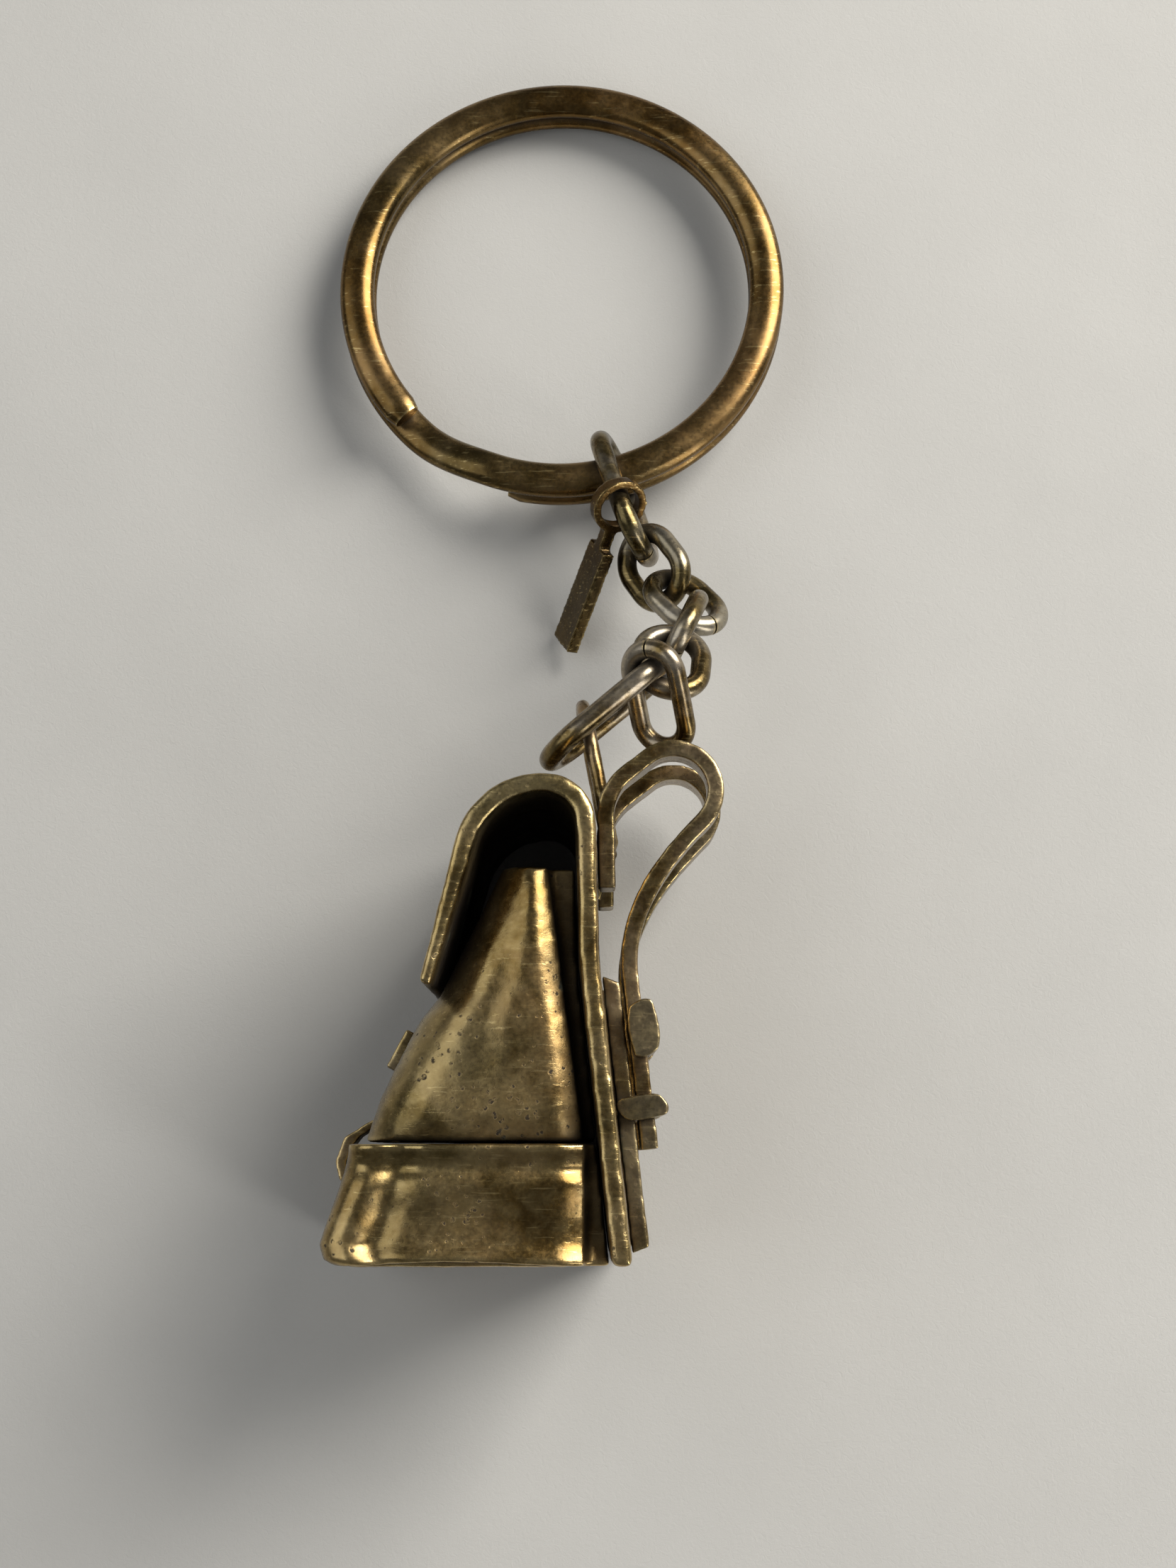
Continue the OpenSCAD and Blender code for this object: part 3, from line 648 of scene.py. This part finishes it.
# ---- Chain ------------------------------------------------------------------------------
def wire_link_tree(material):
    """Geometry nodes that bend a wire into an oval link with a butt joint."""
    tree = bpy.data.node_groups.new("Bent wire link", "GeometryNodeTree")
    for label in ("Length", "Width", "Wire", "Gap", "Unevenness"):
        tree.interface.new_socket(label, in_out="INPUT", socket_type="NodeSocketFloat")
    tree.interface.new_socket("Geometry", in_out="OUTPUT", socket_type="NodeSocketGeometry")
    gin = tree.nodes.new("NodeGroupInput")
    gout = tree.nodes.new("NodeGroupOutput")
    link = tree.links.new

    def calc(operation, a, b):
        node = tree.nodes.new("ShaderNodeMath")
        node.operation = operation
        for index, value in enumerate((a, b)):
            if isinstance(value, (int, float)):
                node.inputs[index].default_value = value
            else:
                link(value, node.inputs[index])
        return node.outputs[0]

    run = calc("SUBTRACT", gin.outputs["Length"], gin.outputs["Wire"])
    across = calc("SUBTRACT", gin.outputs["Width"], gin.outputs["Wire"])
    outline = tree.nodes.new("GeometryNodeCurvePrimitiveQuadrilateral")
    link(run, outline.inputs["Width"])
    link(across, outline.inputs["Height"])
    bends = tree.nodes.new("GeometryNodeFilletCurve")
    bends.mode = "POLY"
    link(outline.outputs["Curve"], bends.inputs["Curve"])
    link(calc("MULTIPLY", across, 0.4999), bends.inputs["Radius"])
    bends.inputs["Count"].default_value = 20
    bends.inputs["Limit Radius"].default_value = True
    even = tree.nodes.new("GeometryNodeResampleCurve")
    link(bends.outputs["Curve"], even.inputs["Curve"])
    even.inputs["Count"].default_value = 160
    opening = tree.nodes.new("GeometryNodeTrimCurve")
    opening.mode = "LENGTH"
    link(even.outputs["Curve"], opening.inputs["Curve"])
    whole = tree.nodes.new("GeometryNodeCurveLength")
    link(even.outputs["Curve"], whole.inputs["Curve"])
    link(calc("MULTIPLY", gin.outputs["Gap"], 0.5), opening.inputs[4])
    link(calc("SUBTRACT", whole.outputs["Length"], calc("MULTIPLY", gin.outputs["Gap"], 0.5)),
         opening.inputs[5])
    section = tree.nodes.new("GeometryNodeCurvePrimitiveCircle")
    section.inputs["Resolution"].default_value = 32
    link(calc("MULTIPLY", gin.outputs["Wire"], 0.5), section.inputs["Radius"])
    sweep = tree.nodes.new("GeometryNodeCurveToMesh")
    link(opening.outputs["Curve"], sweep.inputs["Curve"])
    link(section.outputs["Curve"], sweep.inputs["Profile Curve"])
    sweep.inputs["Fill Caps"].default_value = True
    normal = tree.nodes.new("GeometryNodeInputNormal")
    wave = tree.nodes.new("ShaderNodeTexNoise")
    wave.inputs["Scale"].default_value = 700
    wave.inputs["Detail"].default_value = 2
    depth = calc("MULTIPLY", calc("SUBTRACT", wave.outputs["Fac"], 0.72),
                 gin.outputs["Unevenness"])
    offset = tree.nodes.new("ShaderNodeVectorMath")
    offset.operation = "SCALE"
    link(normal.outputs[0], offset.inputs[0])
    link(depth, offset.inputs["Scale"])
    uneven = tree.nodes.new("GeometryNodeSetPosition")
    link(sweep.outputs[0], uneven.inputs["Geometry"])
    link(offset.outputs[0], uneven.inputs["Offset"])
    real = tree.nodes.new("GeometryNodeRealizeInstances")
    link(uneven.outputs[0], real.inputs[0])
    paint = tree.nodes.new("GeometryNodeSetMaterial")
    paint.inputs["Material"].default_value = material
    link(real.outputs[0], paint.inputs["Geometry"])
    link(paint.outputs[0], gout.inputs[0])
    return tree


def wire_link(node, wire, material):
    """Bends one link in its own plane, then puts its mesh where the solid is."""
    chain = bpy.context.scene.keychain_chain
    place, size = link_place(node)
    tree = bpy.data.node_groups.get("Bent wire link") or wire_link_tree(material)
    holder = bpy.data.objects.new(node + "_wire", bpy.data.meshes.new(node + "_wire"))
    bpy.context.scene.collection.objects.link(holder)
    modifier = holder.modifiers.new("Bent wire link", "NODES")
    modifier.node_group = tree
    names = {s.name: s.identifier for s in tree.interface.items_tree if getattr(s, "in_out",
                                                                                "") == "INPUT"}
    slack = chain.unevenness
    for label, value in (("Length", size[0] - slack), ("Width", size[1] - slack), ("Wire", wire),
                         ("Gap", chain.butt_gap), ("Unevenness", slack)):
        modifier[names[label]] = float(value)
    bpy.context.view_layer.update()
    evaluated = holder.evaluated_get(bpy.context.evaluated_depsgraph_get())
    mesh = bpy.data.meshes.new_from_object(evaluated)
    holder.modifiers.clear()
    bpy.data.objects.remove(holder)
    mesh.transform(place)
    return piece_from(node + "_piece", mesh, node, node, material, smooth_angle=50)


# ---- Split ring -------------------------------------------------------------------------
def wire_section(width, height, power, count=28):
    """A full rounded section for the ring's wire."""
    loop = []
    for i in range(count):
        a = 2 * math.pi * i / count
        c, s = math.cos(a), math.sin(a)
        loop.append((width / 2 * math.copysign(abs(c) ** (2 / power), c),
                     height / 2 * math.copysign(abs(s) ** (2 / power), s)))
    return loop


def ring_frame():
    """The ring's axes: x from the link to the ring's middle, z across its plane."""
    points = points_of("split_ring")
    joint = JOINTS["split_ring_swing"]
    y = Vector(joint["axis"]).normalized()
    middle = Vector((points.max(0) + points.min(0)) / 2)
    x = middle - Vector(joint["pos_m"])
    x = (x - x.dot(y) * y).normalized()
    z = x.cross(y).normalized()
    return axes_matrix(x, y, z, middle)


def cut_direction():
    """The angle at which the ring's upper turn is cut, read from the gap in its top face."""
    place = ring_frame().inverted()
    local = np.array([place @ Vector(p) for p in points_of("split_ring")])
    top = local[:, 2] > local[:, 2].max() - 0.0001
    angles = np.sort(np.degrees(np.arctan2(local[top, 1], local[top, 0])) % 360)
    gaps = np.diff(np.append(angles, angles[0] + 360))
    return float(angles[int(np.argmax(gaps))])


# ---- Operators --------------------------------------------------------------------------
class KEYCHAIN_OT_charm_shell(Operator):
    """Add the charm's back and flap, body, boot and base with worn edges"""
    bl_idname = "keychain.charm_shell"
    bl_label = "Charm Shell"
    bl_options = {"REGISTER", "UNDO"}

    def execute(self, context):
        grain = context.scene.keychain_charm.sheet_grain
        cast("back_and_flap", CHARM_BODY, grain, finish_of("charm_flap"),
             softness=26)
        cast("bag_body", CHARM_BODY, grain, finish_of("charm_sheet"),
             form=dome_body)
        cast("boot", CHARM_BODY, grain, finish_of("charm_sheet"), form=dome_boot)
        cast("base_plate", CHARM_BODY, grain, finish_of("charm_sheet"), softness=1)
        return {"FINISHED"}


class KEYCHAIN_OT_haul_loop(Operator):
    """Add the small loop that the bag link hangs on"""
    bl_idname = "keychain.haul_loop"
    bl_label = "Haul Loop"
    bl_options = {"REGISTER", "UNDO"}

    def execute(self, context):
        cast("haul_loop", CHARM_BODY, context.scene.keychain_charm.buckle_grain,
             finish_of("charm_strap"), softness=2)
        return {"FINISHED"}


class KEYCHAIN_OT_straps(Operator):
    """Add the shoulder, lower and closure straps"""
    bl_idname = "keychain.straps"
    bl_label = "Straps"
    bl_options = {"REGISTER", "UNDO"}

    def execute(self, context):
        for node in STRAP_NODES:
            cast(node, CHARM_BODY, context.scene.keychain_charm.strap_grain,
                 finish_of("charm_strap"), form=sunk_closure if node == "closure_strap" else None)
        return {"FINISHED"}


class KEYCHAIN_OT_buckles(Operator):
    """Add the buckles and keepers on the straps"""
    bl_idname = "keychain.buckles"
    bl_label = "Buckles and Keepers"
    bl_options = {"REGISTER", "UNDO"}

    def execute(self, context):
        for node in BUCKLE_NODES:
            cast(node, CHARM_BODY, context.scene.keychain_charm.buckle_grain,
                 finish_of("buckle_wire"), softness=24, unevenness=0.00003,
                 form=sunk_closure if node == "closure_buckle" else rounded_frame)
        return {"FINISHED"}


class KEYCHAIN_OT_chain(Operator):
    """Add the chain's small and large links"""
    bl_idname = "keychain.chain"
    bl_label = "Chain"
    bl_options = {"REGISTER", "UNDO"}

    def execute(self, context):
        chain = context.scene.keychain_chain
        for node in SMALL_LINKS:
            wire_link(node, chain.small_wire, finish_of("chain_wire"))
        for node in LARGE_LINKS:
            wire_link(node, chain.large_wire, finish_of("chain_wire"))
        wire_link("spare_link", chain.spare_wire, finish_of("chain_wire"))
        return {"FINISHED"}


class KEYCHAIN_OT_split_ring(Operator):
    """Add the split ring as one wire wound about two turns"""
    bl_idname = "keychain.split_ring"
    bl_label = "Split Ring"
    bl_options = {"REGISTER", "UNDO"}

    def execute(self, context):
        ring = context.scene.keychain_ring
        radius = (ring.outer - ring.wire_width) / 2
        level = ring.wire_height / 2 - RING_LAP
        cut = cut_direction()
        start, end = cut + RING_START - 360, cut + 360
        step_low, step_high = cut + RING_STEP_FROM, cut + RING_STEP_TO
        section = wire_section(
            ring.wire_width - RING_INSET, ring.wire_height - RING_INSET, ring.fullness)
        shell = bmesh.new()
        rows = []
        for i in range(RING_ROWS + 1):
            a = start + (end - start) * i / RING_ROWS
            t = min(max((a - step_low) / (step_high - step_low), 0.0), 1.0)
            z = level * (2 * t * t * (3 - 2 * t) - 1)
            taper = min(1.0, RING_END_SIZE + RING_END_GROWTH * min(i, RING_ROWS - i) / 2.0)
            turn = math.radians(a)
            reaches = [((radius + p * taper), z + q * taper) for p, q in section]
            rows.append([
                shell.verts.new((reach * math.cos(turn), reach * math.sin(turn), height))
                for reach, height in reaches])
        for low, high in zip(rows, rows[1:]):
            for k in range(len(section)):
                j = (k + 1) % len(section)
                shell.faces.new((low[k], low[j], high[j], high[k]))
        shell.faces.new(list(reversed(rows[0])))
        shell.faces.new(rows[-1])
        bmesh.ops.recalc_face_normals(shell, faces=shell.faces)
        mesh = bpy.data.meshes.new("split_ring_wire")
        shell.to_mesh(mesh)
        shell.free()
        mesh.transform(ring_frame())
        piece_from("split_ring_piece", mesh, "split_ring", "split_ring",
                   finish_of("ring_wire"), 50)
        return {"FINISHED"}


class KEYCHAIN_OT_blank_tag(Operator):
    """Add the blank tag that hangs beside the chain"""
    bl_idname = "keychain.blank_tag"
    bl_label = "Blank Tag"
    bl_options = {"REGISTER", "UNDO"}

    def execute(self, context):
        cast("blank_tag", "blank_tag", context.scene.keychain_charm.strap_grain,
             finish_of("tag_strip"), softness=3, unevenness=0.00004)
        return {"FINISHED"}


def paper_material():
    finish = bpy.context.scene.keychain_finish
    material = bpy.data.materials.new("warm_grey_paper")
    material.use_nodes = True
    tree = material.node_tree
    shader = tree.nodes["Principled BSDF"]
    shader.inputs["Roughness"].default_value = 0.92
    shader.inputs["Specular IOR Level"].default_value = 0.2
    coords = add_node(tree, "ShaderNodeTexCoord", (-1000, 0))
    v = coords.outputs["Object"]
    cloud = noise(tree, v, 60, 4, 0.6, (-800, 200))
    fibre = noise(tree, v, 2600, 4, 0.7, (-800, 0), 1.2)
    tint = mix_colour(tree, ramp(tree, cloud, 0.3, 0.7, (-600, 200)),
                      [c * 0.97 for c in finish.paper], [min(1, c * 1.03) for c in finish.paper],
                      (-400, 200))
    tint = mix_colour(tree, ramp(tree, fibre, 0.35, 0.75, (-600, 0), 0.0, 0.12), tint,
                      (0.42, 0.40, 0.37), (-200, 200))
    tree.links.new(tint, shader.inputs["Base Color"])
    relief = add_node(tree, "ShaderNodeBump", (-200, -200))
    relief.inputs["Strength"].default_value = 0.5
    relief.inputs["Distance"].default_value = 0.00005
    tree.links.new(fibre, relief.inputs["Height"])
    tree.links.new(relief.outputs[0], shader.inputs["Normal"])
    return material


def soft_light(name, energy, size, place, target, tint):
    data = bpy.data.lights.new(name, "AREA")
    data.energy = energy
    data.shape = "RECTANGLE"
    data.size, data.size_y = size
    data.color = tint
    lamp = bpy.data.objects.new(name, data)
    bpy.context.scene.collection.objects.link(lamp)
    lamp.location = place
    lamp.rotation_euler = (Vector(target) - Vector(place)).to_track_quat("-Z", "Y").to_euler()
    return lamp


class KEYCHAIN_OT_stage(Operator):
    """Add the paper, the soft lights and the camera"""
    bl_idname = "keychain.stage"
    bl_label = "Stage"
    bl_options = {"REGISTER", "UNDO"}

    def execute(self, context):
        scene = context.scene
        stage = scene.keychain_stage
        mesh = bpy.data.meshes.new("paper")
        corners = [(-1, -1), (1, -1), (1, 1), (-1, 1)]
        mesh.from_pydata(
            [(PAPER_HALF * x, PAPER_HALF * y, -PAPER_DEPTH) for x, y in corners], [],
            [(0, 1, 2, 3)])
        paper = bpy.data.objects.new("paper", mesh)
        scene.collection.objects.link(paper)
        mesh.materials.append(paper_material())
        soft_light("window", energy=4.6, size=(0.30, 0.40), place=(0.34, 0.26, 0.30),
                   target=(0, 0, 0), tint=(1.0, 0.97, 0.92))
        soft_light("room", energy=1.0, size=(0.5, 0.5), place=(-0.40, 0.06, 0.42),
                   target=(0, 0, 0.01), tint=(0.94, 0.97, 1.0))
        soft_light("rim", energy=0.25, size=(0.05, 0.30), place=(0.20, -0.16, 0.10),
                   target=(0, -0.01, 0.01), tint=(1.0, 0.98, 0.95))
        world = bpy.data.worlds.new("soft_room")
        scene.world = world
        world.use_nodes = True
        back = world.node_tree.nodes["Background"]
        back.inputs["Color"].default_value = (0.86, 0.88, 0.92, 1.0)
        back.inputs["Strength"].default_value = 0.19
        lens = bpy.data.cameras.new("camera")
        lens.lens = stage.lens
        lens.sensor_width = 36.0
        lens.clip_start = 0.005
        lens.clip_end = 5.0
        camera = bpy.data.objects.new("camera", lens)
        scene.collection.objects.link(camera)
        camera.location = (stage.camera_x, stage.camera_y, stage.camera_z)
        camera.rotation_euler = Euler((stage.tilt, 0.0, 0.0))
        scene.camera = camera
        scene.view_settings.view_transform = "Standard"
        return {"FINISHED"}


class KEYCHAIN_PT_panel(Panel):
    """Lists the keychain's pieces and sizes"""
    bl_idname = "KEYCHAIN_PT_panel"
    bl_label = "Backpack Keychain"
    bl_space_type = "VIEW_3D"
    bl_region_type = "UI"
    bl_category = "Keychain"

    def draw(self, context):
        layout = self.layout
        for step in STEPS:
            layout.operator(step.bl_idname)
        for key, group in SETTINGS.items():
            box = layout.box()
            for label in group.__annotations__:
                box.prop(getattr(context.scene, key), label)


STEPS = (KEYCHAIN_OT_charm_shell, KEYCHAIN_OT_haul_loop, KEYCHAIN_OT_straps, KEYCHAIN_OT_buckles,
         KEYCHAIN_OT_chain, KEYCHAIN_OT_split_ring, KEYCHAIN_OT_blank_tag, KEYCHAIN_OT_stage)
CLASSES = tuple(SETTINGS.values()) + STEPS + (KEYCHAIN_PT_panel,)


def register():
    for cls in CLASSES:
        bpy.utils.register_class(cls)
    for key, group in SETTINGS.items():
        setattr(bpy.types.Scene, key, PointerProperty(type=group))


def unregister():
    for key in SETTINGS:
        delattr(bpy.types.Scene, key)
    for cls in reversed(CLASSES):
        bpy.utils.unregister_class(cls)


def main():
    register()
    bpy.ops.keychain.charm_shell()
    bpy.ops.keychain.haul_loop()
    bpy.ops.keychain.straps()
    bpy.ops.keychain.buckles()
    bpy.ops.keychain.chain()
    bpy.ops.keychain.split_ring()
    bpy.ops.keychain.blank_tag()
    bpy.ops.keychain.stage()


if __name__ == "__main__":
    main()
